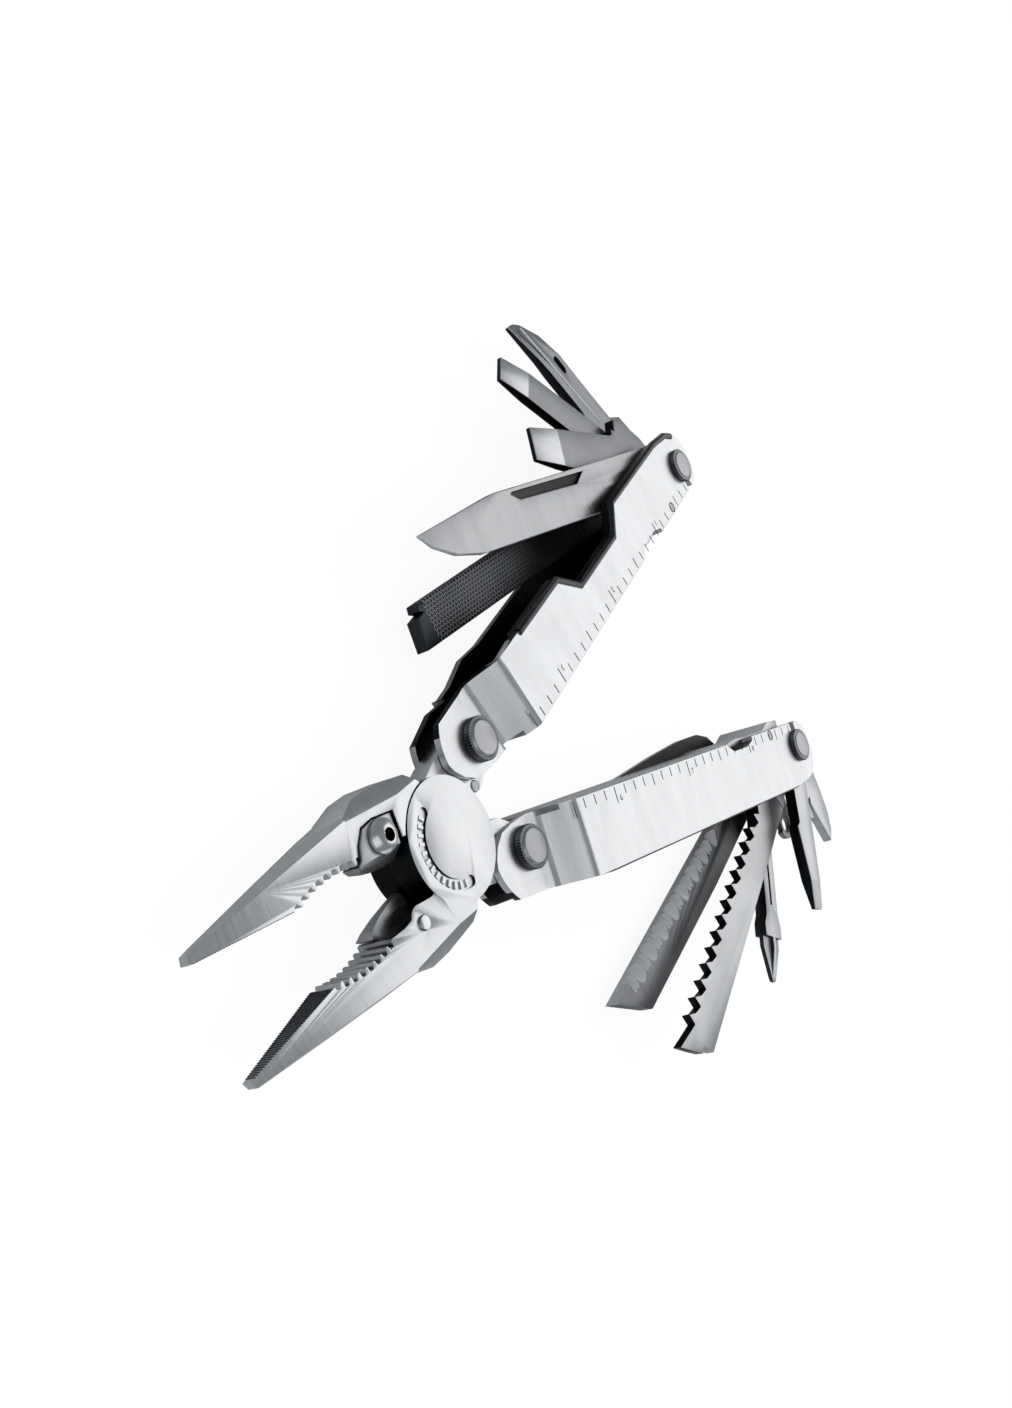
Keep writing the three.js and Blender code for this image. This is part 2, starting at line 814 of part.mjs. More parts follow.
function saw(tool, low, high) {
  const teeth = [];
  for (let x = 17; x < 72; x += 4) {
    const y = 1.4 - x * 0.052;
    teeth.push([x, y + 0.8], [x + 1.6, y - 0.8], [x + 2, y + 1.4]);
  }
  const outline = withHeel([
    [15, -0.4],
    ...teeth,
    [77.4, -2.9],
    [75.6, 0.6],
    [74, 3.4],
    [72.9, 2.9],
    [71.9, 6],
    [25, 8],
    [9, 8.4],
    [4, 7.4],
  ]);
  const thin = sidePlate(
    [
      [8.6, high - 0.2],
      [90, high - 0.2],
      [90, high + 2],
      [8.6, high + 2],
    ],
    -20,
    20,
  );
  return cut(flatTool(tool, outline, low, high), thin);
}

function phillips(tool, low, high) {
  const middle = (low + high) / 2;
  const shank = withHeel([
    [15, -2.1],
    [34, -2.1],
    [36, -3],
    [40.6, -3],
    [47.4, -0.5],
    [47.4, 0.5],
    [40.6, 3],
    [36, 3],
    [34, 2.3],
    [12, 2.3],
    [8, 3.6],
  ]);
  const fluteProfile = [
    [38.6, 0.45],
    [49, 0.45],
    [49, 4],
    [38.6, 4],
  ];
  const flutes = [-1, 1].flatMap((face) =>
    [-1, 1].map((edge) =>
      plate(
        fluteProfile.map(([x, y]) => [x, y * edge]),
        face > 0 ? middle + 0.45 : low - 1,
        face > 0 ? high + 1 : middle - 0.45,
        tool.flip,
      ),
    ),
  );
  const groove = plate(
    [
      [14, -0.35],
      [32, -0.35],
      [32, 0.35],
      [14, 0.35],
    ],
    high - 0.5,
    high + 1,
    tool.flip,
  );
  return cut(
    flatTool(tool, shank, low, high),
    ...flutes,
    ...tipGrind(40.6, 47.4, middle, (high - low) / 2, 0.35),
    groove,
  );
}

function lanyardTab(tool, low, high) {
  const outline = withHeel([
    ...arc(15.4, 0, 3, -70, 90, 8),
    [5, 3.4],
  ]);
  return cut(
    flatTool(tool, outline, low, high),
    disc(1.7, low - 1, high + 1, 15.4, 0, 20),
  );
}

function canOpener(tool, low, high) {
  const outline = withHeel([
    [17, -0.6],
    [13, 0.4],
    [13.2, 1.9],
    [14.4, 0.9],
    [24.4, 1.6],
    [23, 4],
    [19.6, 6.2],
    [15, 7.6],
    [11, 8.4],
    [7, 8.2],
    [3.6, 6.6],
  ]);
  return flatTool(tool, outline, low, high);
}

const DRIVER_LUG = [
  [15.6, 6.2],
  [14.4, 6.6],
  [14.4, 7.6],
  [13.2, 7.4],
  [12.6, 10],
  [10, 10],
];

const TOOLS_A = [
  ["knife", 18.4, 3.5, 5.85, knife, GREY],
  ["large_screwdriver", 34, 1.15, 3.3, (t, l, h) =>
    screwdriver(t, l, h, 41.6, -2, 4.2, -3, 7.4, 8, DRIVER_LUG), GREY],
  ["medium_screwdriver", 55, -1.05, 0.95, (t, l, h) =>
    screwdriver(t, l, h, 45.8, -2.7, 2.2, -3, 4, 7.4, [[38, 2.9], [12, 3.4]]), GREY],
  ["awl", 75, -3.2, -1.25, awl, GREY],
  ["file", 11, -5.85, -3.45, file, DARK],
];
const TOOLS_B = [
  ["small_screwdriver", 74, 4.5, 6.8, (t, l, h) =>
    screwdriver(t, l, h, 33.6, -0.8, 2.2, -3.4, 3.6, 5.8, [[27, 2.2], [12, 3.4]]), GREY],
  ["can_opener", 112, 2.4, 4.3, canOpener, GREY],
  ["saw", 34, 0.3, 2.2, saw, GREY],
  ["lanyard_tab", 93, -1.1, 0.1, lanyardTab, GREY],
  ["phillips_screwdriver", 65, -3.9, -1.3, phillips, GREY],
  ["serrated_knife", 25, -6.7, -4.1, serratedKnife, DARK],
];
for (const [group, side, tools] of [
  [handleA, 1, TOOLS_A],
  [handleB, -1, TOOLS_B],
]) {
  for (const [name, opened, low, high, make, color] of tools) {
    const tool = toolGroup(group, side, opened);
    add(tool.group, name, make(tool, low, high), color, 0.4);
  }
}

// Heights above are from the mid-plane; the origin lies on the near face of the joint.
part.position.z = -BOSS_TOP;

export default part;
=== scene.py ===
"""A folding multi tool with its pliers part open and its tools fanned out, on a pale floor."""

import json
import math

import bpy
from mathutils import Matrix, Vector


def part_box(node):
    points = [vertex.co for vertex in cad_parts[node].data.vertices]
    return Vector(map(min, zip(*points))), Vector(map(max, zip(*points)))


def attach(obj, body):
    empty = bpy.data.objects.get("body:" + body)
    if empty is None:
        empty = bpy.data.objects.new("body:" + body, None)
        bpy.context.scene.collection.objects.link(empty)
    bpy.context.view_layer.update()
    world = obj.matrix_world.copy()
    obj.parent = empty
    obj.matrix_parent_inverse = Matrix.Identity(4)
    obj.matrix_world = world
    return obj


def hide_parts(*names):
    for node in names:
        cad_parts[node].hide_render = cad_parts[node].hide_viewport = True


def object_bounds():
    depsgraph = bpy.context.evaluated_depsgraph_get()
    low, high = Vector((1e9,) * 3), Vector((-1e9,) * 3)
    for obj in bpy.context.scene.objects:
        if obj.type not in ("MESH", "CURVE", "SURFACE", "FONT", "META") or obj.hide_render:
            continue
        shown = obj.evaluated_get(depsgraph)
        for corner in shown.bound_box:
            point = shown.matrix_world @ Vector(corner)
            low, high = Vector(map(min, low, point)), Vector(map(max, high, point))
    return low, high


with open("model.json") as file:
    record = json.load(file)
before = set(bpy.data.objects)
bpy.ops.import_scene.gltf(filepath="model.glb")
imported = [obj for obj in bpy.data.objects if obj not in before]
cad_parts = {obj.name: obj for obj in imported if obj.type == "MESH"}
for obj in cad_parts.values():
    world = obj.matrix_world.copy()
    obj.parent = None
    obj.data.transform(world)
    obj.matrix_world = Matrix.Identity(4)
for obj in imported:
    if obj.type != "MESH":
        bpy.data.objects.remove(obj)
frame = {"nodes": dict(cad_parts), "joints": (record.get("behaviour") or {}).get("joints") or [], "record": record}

bl_info = {
    "name": "Folding Multi Tool",
    "version": (1, 0, 0),
    "blender": (4, 5, 0),
    "location": "3D View > Sidebar > Multi Tool",
    "description": "Finishes the packed multi tool: steel, rulers, knurls, teeth and a studio stage",
    "category": "Object",
}

MM = 0.001
CAD_LOW, CAD_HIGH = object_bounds()
JOINTS = {joint["name"]: joint for joint in frame["joints"]}
BODY_OF = {
    node: body
    for body, nodes in frame["record"]["behaviour"]["bodies"].items()
    for node in nodes
}
SLOT_OF = {row["node"]: row["material_slot"] for row in frame["record"]["subparts"]}

# The camera's place in metres, its directions, lens in millimetres and shifts.
CAMERA_PLACE = (0.1286, -0.0745, 0.1233)
CAMERA_RIGHT = (-0.3733, 0.5177, 0.7698)
CAMERA_FORWARD = (-0.7347, 0.3416, -0.5861)
CAMERA_LENS = 34.556
CAMERA_SHIFT = (-0.0040, 0.0120)

# Each lamp's name, offset from the middle of the tool, width, height in metres and power in watts.
LAMPS = (
    ("main softbox", (-0.55, 0.26, 0.44), 0.7, 0.7, 1.75),
    ("front softbox", (0.6, 0.0, 0.68), 0.7, 0.7, 1.1),
    ("side strip", (0.1, 0.75, 0.25), 0.7, 0.14, 0.3),
    ("low strip", (-0.1, -0.75, 0.2), 0.5, 0.1, 0.12),
)

TOOLS_A = ("knife", "large_screwdriver", "medium_screwdriver", "awl", "file")
TOOLS_B = (
    "small_screwdriver",
    "can_opener",
    "saw",
    "lanyard_tab",
    "phillips_screwdriver",
    "serrated_knife",
)


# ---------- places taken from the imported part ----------


class HandleFrame:
    """A handle's own directions: along it to the tool end, out to its open side, and its near face."""

    def __init__(self, letter):
        self.letter = letter
        self.body = f"handle_{letter}"
        self.neck = Vector(JOINTS[f"handle_{letter}_fold"]["pos_m"])
        tool = "knife_fold" if letter == "a" else "saw_fold"
        self.tool = Vector(JOINTS[tool]["pos_m"])
        self.along = (self.tool - self.neck).normalized()
        side = 1 if letter == "a" else -1
        self.out = Vector((-self.along.y, self.along.x, 0)) * side
        low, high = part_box(f"handle_{letter}_channel")
        self.near = high.z
        self.far = low.z
        self.middle = (low.z + high.z) / 2

    def local(self, point):
        """Millimetres along and out of a point in metres."""
        offset = Vector(point) - self.neck
        return offset.dot(self.along) / MM, offset.dot(self.out) / MM

    def at(self, along, out, z=0.0):
        """A point given in metres along the handle, out from the line of pivots, at height z."""
        point = self.neck + self.along * along + self.out * out
        return Vector((point.x, point.y, z))


HANDLE = {"a": HandleFrame("a"), "b": HandleFrame("b")}
SPINE_EDGE = -5.0 * MM
# A knurl on a handle's rivet: end of the handle, radius, and depths of its foot and top.
KNURLS = (("neck", 3.55, 1.45, 0.35), ("tool", 3.3, 0.95, 0.2))
# Along and height in millimetres of the corners of handle A's near opening.
OPENING_TOP = 8
WALL_START = 13.9
OPENING_STEPS = (
    (WALL_START, OPENING_TOP),
    (33.5, OPENING_TOP),
    (39, 3.6),
    (56.5, 3.6),
    (62, OPENING_TOP),
    (87, OPENING_TOP),
)


class PieceFrame:
    """A tool's or jaw's own directions: along it to its tip, and out to the side it shows."""

    def __init__(self, pivot, turn_degrees, side):
        turn = math.radians(turn_degrees)
        self.pivot = Vector(pivot)
        self.turn = turn
        self.along = Vector((math.cos(turn), math.sin(turn), 0))
        self.out = Vector((-self.along.y, self.along.x, 0)) * side

    def local(self, point):
        """Millimetres along and out of a point in metres."""
        offset = Vector(point) - self.pivot
        return offset.dot(self.along) / MM, offset.dot(self.out) / MM

    def at(self, along, out, z=0.0):
        """A point from millimetres along and out, at height z in metres."""
        point = self.pivot + self.along * along * MM + self.out * out * MM
        return Vector((point.x, point.y, z))


def tool_frame(tool):
    """The frame of a folding tool, from its joint and the angle that it stands open."""
    letter = "a" if tool in TOOLS_A else "b"
    side = 1 if letter == "a" else -1
    joint = JOINTS[f"{tool}_fold"]
    back = -HANDLE[letter].along
    turn = math.degrees(math.atan2(back.y, back.x)) - joint["range_deg"][1] * side
    return PieceFrame(joint["pos_m"], turn, -side)


# Degrees from +X to the gripping line of each jaw.
LOWER_JAW_TURN = -4.0
UPPER_JAW_TURN = -22.5
JAW = {
    "lower": PieceFrame(JOINTS["jaw_pivot"]["pos_m"], LOWER_JAW_TURN, 1),
    "upper": PieceFrame(JOINTS["jaw_pivot"]["pos_m"], UPPER_JAW_TURN, -1),
}
JAW_MIDDLE = JOINTS["jaw_pivot"]["pos_m"][2]
# The fine grip lines near the jaw tips, and the plain ribs round the boss: count, start and step.
GRIP_COUNT, GRIP_START, GRIP_STEP = 36, 31.4, 0.45
RIB_COUNT, RIB_START, RIB_STEP = 13, -66, 11
RIB_CIRCLE = 6.6


# ---------- modelling helpers ----------


def clear_selection():
    if bpy.context.object and bpy.context.object.mode != "OBJECT":
        bpy.ops.object.mode_set(mode="OBJECT")
    bpy.ops.object.select_all(action="DESELECT")


def pick(*objects):
    clear_selection()
    for obj in objects:
        obj.select_set(True)
    bpy.context.view_layer.objects.active = objects[0]
    return objects[0]


def settle(obj):
    """Puts the object's place, turn and size into its mesh."""
    pick(obj)
    bpy.ops.object.transform_apply(location=True, rotation=True, scale=True)
    return obj


def apply_modifiers(obj):
    pick(obj)
    for modifier in list(obj.modifiers):
        bpy.ops.object.modifier_apply(modifier=modifier.name)
    return obj


def merged(objects, name):
    pick(*objects)
    if len(objects) > 1:
        bpy.ops.object.join()
    made = bpy.context.object
    made.name = name
    made.data.name = name
    return made


def soften(obj, width, segments=2, angle=30):
    bevel = obj.modifiers.new("softened edges", "BEVEL")
    bevel.width = width
    bevel.segments = segments
    bevel.limit_method = "ANGLE"
    bevel.angle_limit = math.radians(angle)
    return obj


def shade(obj, angle=32):
    pick(obj)
    bpy.ops.object.shade_smooth_by_angle(angle=math.radians(angle))
    return obj


def hand_over(obj, name, body, slot, *materials):
    """Names a finished piece and lets it ride on its body."""
    obj.name = name
    obj.data.name = name
    if materials:
        obj.data.materials.clear()
        for material in materials:
            obj.data.materials.append(material)
    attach(obj, body)
    return obj


def opening_height(along):
    """Top of handle A's near wall at a place along it, in millimetres."""
    for (x0, y0), (x1, y1) in zip(OPENING_STEPS, OPENING_STEPS[1:]):
        if x0 <= along <= x1:
            return y0 + (y1 - y0) * (along - x0) / (x1 - x0)
    return 99


def polished_copy(node, width, segments=2):
    """A merged copy of a CAD node with softened edges, standing for that node."""
    source = frame["nodes"][node]
    twin = source.copy()
    twin.data = source.data.copy()
    twin.parent = None
    twin.matrix_world = Matrix.Identity(4)
    for key in list(twin.keys()):
        if key.startswith("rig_"):
            del twin[key]
    bpy.context.scene.collection.objects.link(twin)
    pick(twin)
    bpy.ops.object.mode_set(mode="EDIT")
    bpy.ops.mesh.select_all(action="SELECT")
    bpy.ops.mesh.remove_doubles(threshold=2e-6)
    bpy.ops.mesh.dissolve_limited(angle_limit=math.radians(0.6))
    bpy.ops.object.mode_set(mode="OBJECT")
    if width:
        soften(twin, width, segments)
        apply_modifiers(twin)
    shade(twin)
    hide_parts(node)
    return twin


def roll_edges(obj, width, segments, test):
    """Rounds the edges whose two ends both pass the test."""
    pick(obj)
    mesh = obj.data
    bpy.ops.object.mode_set(mode="EDIT")
    bpy.ops.mesh.select_all(action="DESELECT")
    bpy.ops.object.mode_set(mode="OBJECT")
    found = False
    for edge in mesh.edges:
        ends = [mesh.vertices[i].co for i in edge.vertices]
        edge.select = all(test(end) for end in ends) and (ends[0] - ends[1]).length > 0.05 * MM
        found = found or edge.select
    if not found:
        raise RuntimeError(f"no edge to round on {obj.name}")
    bpy.ops.object.mode_set(mode="EDIT")
    bpy.ops.mesh.select_mode(type="EDGE")
    bpy.ops.mesh.bevel(offset=width, segments=segments, affect="EDGES", clamp_overlap=True)
    bpy.ops.object.mode_set(mode="OBJECT")


def bars(obj_name, places, size_of):
    """Small blocks joined in one object; each place is (centre, turn about Z, size key)."""
    made = []
    for centre, turn, key in places:
        clear_selection()
        bpy.ops.mesh.primitive_cube_add(size=1, location=centre, rotation=(0, 0, turn))
        block = bpy.context.object
        block.scale = size_of(key)
        made.append(block)
    return settle(merged(made, obj_name))


def paint_faces(obj, index, test):
    """Gives the material at that index to every face whose centre and normal pass the test."""
    for face in obj.data.polygons:
        if test(face.center, face.normal):
            face.material_index = index


# ---------- materials ----------


def grain_group():
    """Long fine scratches on Object coordinates, turned about Z, as a mask and a height."""
    name = "Brushed grain"
    if name in bpy.data.node_groups:
        return bpy.data.node_groups[name]
    group = bpy.data.node_groups.new(name, "ShaderNodeTree")
    face = group.interface
    for label, value in (("Turn", 0.0), ("Fineness", 1.0)):
        socket = face.new_socket(label, in_out="INPUT", socket_type="NodeSocketFloat")
        socket.default_value = value
    for label in ("Scratches", "Patches"):
        face.new_socket(label, in_out="OUTPUT", socket_type="NodeSocketFloat")
    nodes, links = group.nodes, group.links
    given = nodes.new("NodeGroupInput")
    out = nodes.new("NodeGroupOutput")
    place = nodes.new("ShaderNodeTexCoord")
    spin = nodes.new("ShaderNodeVectorRotate")
    spin.rotation_type = "Z_AXIS"
    links.new(given.outputs["Turn"], spin.inputs["Angle"])
    links.new(place.outputs["Object"], spin.inputs["Vector"])
    stretch = nodes.new("ShaderNodeMapping")
    stretch.inputs["Scale"].default_value = (5200, 130, 900)
    links.new(spin.outputs["Vector"], stretch.inputs["Vector"])
    fine = nodes.new("ShaderNodeTexNoise")
    fine.inputs["Detail"].default_value = 3
    links.new(given.outputs["Fineness"], fine.inputs["Scale"])
    links.new(stretch.outputs["Vector"], fine.inputs["Vector"])
    links.new(fine.outputs["Fac"], out.inputs["Scratches"])
    broad = nodes.new("ShaderNodeMapping")
    broad.inputs["Scale"].default_value = (320, 60, 120)
    links.new(spin.outputs["Vector"], broad.inputs["Vector"])
    cloud = nodes.new("ShaderNodeTexNoise")
    cloud.inputs["Scale"].default_value = 1
    cloud.inputs["Detail"].default_value = 2
    links.new(broad.outputs["Vector"], cloud.inputs["Vector"])
    links.new(cloud.outputs["Fac"], out.inputs["Patches"])
    return group


def grit_group():
    """Fine even speckle of a blasted surface, as a mask and a height."""
    name = "Blasted grit"
    if name in bpy.data.node_groups:
        return bpy.data.node_groups[name]
    group = bpy.data.node_groups.new(name, "ShaderNodeTree")
    face = group.interface
    socket = face.new_socket("Size", in_out="INPUT", socket_type="NodeSocketFloat")
    socket.default_value = 6000
    for label in ("Speckle", "Stain"):
        face.new_socket(label, in_out="OUTPUT", socket_type="NodeSocketFloat")
    nodes, links = group.nodes, group.links
    given = nodes.new("NodeGroupInput")
    out = nodes.new("NodeGroupOutput")
    place = nodes.new("ShaderNodeTexCoord")
    fine = nodes.new("ShaderNodeTexNoise")
    fine.inputs["Detail"].default_value = 2
    links.new(given.outputs["Size"], fine.inputs["Scale"])
    links.new(place.outputs["Object"], fine.inputs["Vector"])
    links.new(fine.outputs["Fac"], out.inputs["Speckle"])
    broad = nodes.new("ShaderNodeTexNoise")
    broad.inputs["Scale"].default_value = 90
    broad.inputs["Detail"].default_value = 3
    links.new(place.outputs["Object"], broad.inputs["Vector"])
    links.new(broad.outputs["Fac"], out.inputs["Stain"])
    return group


def spread(nodes, links, value, low, high):
    """Maps a 0..1 mask to low..high."""
    node = nodes.new("ShaderNodeMapRange")
    node.inputs["From Min"].default_value = 0.3
    node.inputs["From Max"].default_value = 0.7
    node.inputs["To Min"].default_value = low
    node.inputs["To Max"].default_value = high
    links.new(value, node.inputs["Value"])
    return node.outputs["Result"]


def tint(nodes, links, value, dark, light):
    """Maps a 0..1 mask to a colour between two greys."""
    node = nodes.new("ShaderNodeMix")
    node.data_type = "RGBA"
    node.inputs["A"].default_value = (*dark, 1)
    node.inputs["B"].default_value = (*light, 1)
    links.new(spread(nodes, links, value, 0, 1), node.inputs["Factor"])
    return node.outputs["Result"]


def new_material(name, metallic):
    material = bpy.data.materials.new(name)
    material.use_nodes = True
    shader = material.node_tree.nodes["Principled BSDF"]
    shader.inputs["Metallic"].default_value = metallic
    return material, shader, material.node_tree.nodes, material.node_tree.links


def brushed(name, dark, light, rough, turn_degrees, depth=0.25, fineness=1.0):
    """Steel brushed across the given direction."""
    material, shader, nodes, links = new_material(name, 1)
    group = nodes.new("ShaderNodeGroup")
    group.node_tree = grain_group()
    group.inputs["Turn"].default_value = math.radians(-turn_degrees)
    group.inputs["Fineness"].default_value = fineness
    mix = nodes.new("ShaderNodeMath")
    mix.operation = "MULTIPLY_ADD"
    mix.inputs[1].default_value = 0.7
    links.new(group.outputs["Scratches"], mix.inputs[0])
    soft = spread(nodes, links, group.outputs["Patches"], 0.05, 0.25)
    links.new(soft, mix.inputs[2])
    links.new(tint(nodes, links, mix.outputs[0], dark, light), shader.inputs["Base Color"])
    links.new(
        spread(nodes, links, group.outputs["Scratches"], rough[0], rough[1]),
        shader.inputs["Roughness"],
    )
    bump = nodes.new("ShaderNodeBump")
    bump.inputs["Strength"].default_value = depth
    bump.inputs["Distance"].default_value = 0.00001
    links.new(group.outputs["Scratches"], bump.inputs["Height"])
    links.new(bump.outputs["Normal"], shader.inputs["Normal"])
    return material


def blasted(name, dark, light, rough, metallic=1.0, size=5000):
    """Steel with a fine even speckle."""
    material, shader, nodes, links = new_material(name, metallic)
    group = nodes.new("ShaderNodeGroup")
    group.node_tree = grit_group()
    group.inputs["Size"].default_value = size
    links.new(
        tint(nodes, links, group.outputs["Stain"], dark, light), shader.inputs["Base Color"]
    )
    links.new(
        spread(nodes, links, group.outputs["Speckle"], rough[0], rough[1]),
        shader.inputs["Roughness"],
    )
    bump = nodes.new("ShaderNodeBump")
    bump.inputs["Strength"].default_value = 0.35
    bump.inputs["Distance"].default_value = 0.00002
    links.new(group.outputs["Speckle"], bump.inputs["Height"])
    links.new(bump.outputs["Normal"], shader.inputs["Normal"])
    return material


MATERIALS = {}


def grey(value, blue=0.01):
    return (value, value + blue * 0.4, value + blue)


def make_materials(steel, satin, dark):
    """All finishes and the painted light and shade materials, from the brightness of the three kinds of steel."""
    MATERIALS["handle_a"] = brushed(
        "Handle A brushed steel", grey(steel * 0.82), grey(steel), (0.26, 0.4), 180
    )
    MATERIALS["handle_b"] = brushed(
        "Handle B brushed steel", grey(steel * 0.82), grey(steel), (0.26, 0.4), 152.6
    )
    MATERIALS["jaw_lower"] = brushed(
        "Lower jaw ground steel", grey(steel * 0.84), grey(steel), (0.26, 0.38), -5
    )
    MATERIALS["jaw_upper"] = brushed(
        "Upper jaw ground steel", grey(steel * 0.84), grey(steel), (0.26, 0.38), -23
    )
    MATERIALS["knife"] = brushed(
        "Knife brushed steel", grey(steel * 0.5), grey(steel * 0.62), (0.26, 0.4), -18, 0.2
    )
    # Flat pale non-metal grey: a painted highlight on ground blade faces, serrations, the small driver's tip and
    # the awl's ridge.
    MATERIALS["edge"] = blasted(
        "Ground cutting edge", grey(steel * 1.1), grey(steel * 1.25), (0.3, 0.4), 0.0
    )
    MATERIALS["satin"] = blasted(
        "Satin blasted steel", grey(satin * 0.85), grey(satin), (0.36, 0.48)
    )
    MATERIALS["pale_satin"] = blasted(
        "Pale satin steel", grey(satin * 1.6), grey(satin * 1.9), (0.34, 0.46)
    )
    MATERIALS["ground"] = brushed(
        "Ground driver tip", grey(steel * 0.7), grey(steel * 0.9), (0.26, 0.36), 50, 0.3
    )
    MATERIALS["rivet"] = brushed(
        "Rivet face", grey(steel * 0.45), grey(steel * 0.58), (0.28, 0.4), 40, 0.3
    )
    MATERIALS["bright"] = brushed(
        "Bright turned steel", grey(steel * 0.8), grey(steel * 0.95), (0.18, 0.28), 20, 0.15
    )
    # Near-black steel for the file body; on the Phillips driver's and awl's side faces and the jaw grip lines it
    # is painted shade.
    MATERIALS["dark"] = blasted(
        "Dark oxide steel", grey(dark * 0.8), grey(dark), (0.34, 0.46)
    )
    # Near-black paint standing for shade: channel insides, nail nicks, saw gullets, driver side faces and jaw
    # pockets.
    MATERIALS["inside"] = blasted(
        "Dark channel inside", grey(0.012, 0.001), grey(0.022, 0.002), (0.3, 0.42)
    )
    # Near-black gloss: painted dark reflection and shade on the rolled opening and spine edges and on the lip.
    MATERIALS["gloss_black"] = blasted(
        "Rolled black edge", grey(0.03, 0.003), grey(0.05, 0.004), (0.12, 0.2)
    )
    MATERIALS["serrated"] = blasted(
        "Serrated blade steel", grey(satin * 0.5), grey(satin * 0.8), (0.34, 0.44)
    )
    MATERIALS["file_ridge"] = blasted(
        "File ridge", grey(dark * 2.2), grey(dark * 3.2), (0.3, 0.4)
    )
    # A darker copy of the jaw steel: painted shade on the slanted bevel faces.
    MATERIALS["bevel"] = brushed(
        "Jaw bevel", grey(steel * 0.72), grey(steel * 0.85), (0.28, 0.4), -12, 0.2
    )
    # Dark copy of the steel for the knurls: painted shade among the teeth.
    MATERIALS["rivet_skirt"] = blasted(
        "Knurled rivet skirt", grey(steel * 0.16), grey(steel * 0.3), (0.3, 0.4)
    )
    MATERIALS["mark"] = blasted(
        "Engraved mark", grey(0.02, 0.001), grey(0.04, 0.001), (0.6, 0.75), 0.2
    )


# ---------- properties ----------


class MULTITOOL_PG_finish(bpy.types.PropertyGroup):
    """Brightness of the steels and how soft their edges are."""

    steel: bpy.props.FloatProperty(
        name="Bright steel", description="Brightness of handles and jaws", default=0.7
    )
    satin: bpy.props.FloatProperty(
        name="Satin steel", description="Brightness of the drivers and awl", default=0.3
    )
    dark: bpy.props.FloatProperty(
        name="Dark steel", description="Brightness of the file and its ridges", default=0.055
    )
    edge: bpy.props.FloatProperty(
        name="Edge softness",
        description="Width of the softened edges",
        default=0.12 * MM,
        unit="LENGTH",
        precision=6,
    )


class MULTITOOL_PG_marks(bpy.types.PropertyGroup):
    """Size of the ruler marks."""

    eighth: bpy.props.FloatProperty(
        name="Eighth mark", description="Length of a short mark", default=1.65 * MM, unit="LENGTH"
    )
    half: bpy.props.FloatProperty(
        name="Half mark", description="Length of a half-inch mark", default=2.05 * MM, unit="LENGTH"
    )
    inch: bpy.props.FloatProperty(
        name="Inch mark", description="Length of an inch mark", default=2.7 * MM, unit="LENGTH"
    )
    digit: bpy.props.FloatProperty(
        name="Digit size", description="Height of a number", default=1.5 * MM, unit="LENGTH"
    )


# ---------- operators ----------


class MULTITOOL_OT_stage(bpy.types.Operator):
    """Adds the pale floor, the soft lights and the camera"""

    bl_idname = "multitool.stage"
    bl_label = "Studio stage"

    def execute(self, context):
        clear_selection()
        bpy.ops.mesh.primitive_plane_add(size=8, location=(0, 0, CAD_LOW.z - 0.00002))
        floor = bpy.context.object
        floor.name = "floor"
        material, shader, nodes, links = new_material("Pale floor", 0)
        shader.inputs["Base Color"].default_value = (0.9, 0.9, 0.9, 1)
        shader.inputs["Roughness"].default_value = 0.9
        shader.inputs["Specular IOR Level"].default_value = 0.1
        glow = nodes.new("ShaderNodeEmission")
        glow.inputs["Color"].default_value = (1, 1, 1, 1)
        glow.inputs["Strength"].default_value = 1.15
        ray = nodes.new("ShaderNodeLightPath")
        share = nodes.new("ShaderNodeMath")
        share.operation = "MULTIPLY"
        share.inputs[1].default_value = 0.8
        mix = nodes.new("ShaderNodeMixShader")
        links.new(ray.outputs["Is Camera Ray"], share.inputs[0])
        links.new(share.outputs[0], mix.inputs[0])
        links.new(shader.outputs[0], mix.inputs[1])
        links.new(glow.outputs[0], mix.inputs[2])
        links.new(mix.outputs[0], nodes["Material Output"].inputs["Surface"])
        floor.data.materials.append(material)

        world = bpy.data.worlds.new("Studio")
        context.scene.world = world
        world.use_nodes = True
        sky = world.node_tree.nodes["Background"]
        sky.inputs["Color"].default_value = (0.9, 0.95, 1, 1)
        sky.inputs["Strength"].default_value = 0.3
        middle = (CAD_LOW + CAD_HIGH) / 2
        for name, offset, width, height, power in LAMPS:
            bpy.ops.object.light_add(type="AREA", location=middle + Vector(offset))
            lamp = bpy.context.object
            lamp.name = name
            lamp.data.shape = "RECTANGLE"
            lamp.data.size = width
            lamp.data.size_y = height
            lamp.data.energy = power
            lamp.rotation_euler = (-Vector(offset)).to_track_quat("-Z", "Y").to_euler()

        data = bpy.data.cameras.new("Camera")
        camera = bpy.data.objects.new("Camera", data)
        context.scene.collection.objects.link(camera)
        context.scene.camera = camera
        data.sensor_width = 36
        data.lens = CAMERA_LENS
        data.shift_x, data.shift_y = CAMERA_SHIFT
        data.clip_start = 0.01
        data.clip_end = 20
        right = Vector(CAMERA_RIGHT).normalized()
        forward = Vector(CAMERA_FORWARD).normalized()
        up = right.cross(forward).normalized()
        turn = Matrix((right, up, -forward)).transposed().to_4x4()
        camera.matrix_world = Matrix.Translation(CAMERA_PLACE) @ turn
        context.scene.view_settings.view_transform = "Standard"
        return {"FINISHED"}


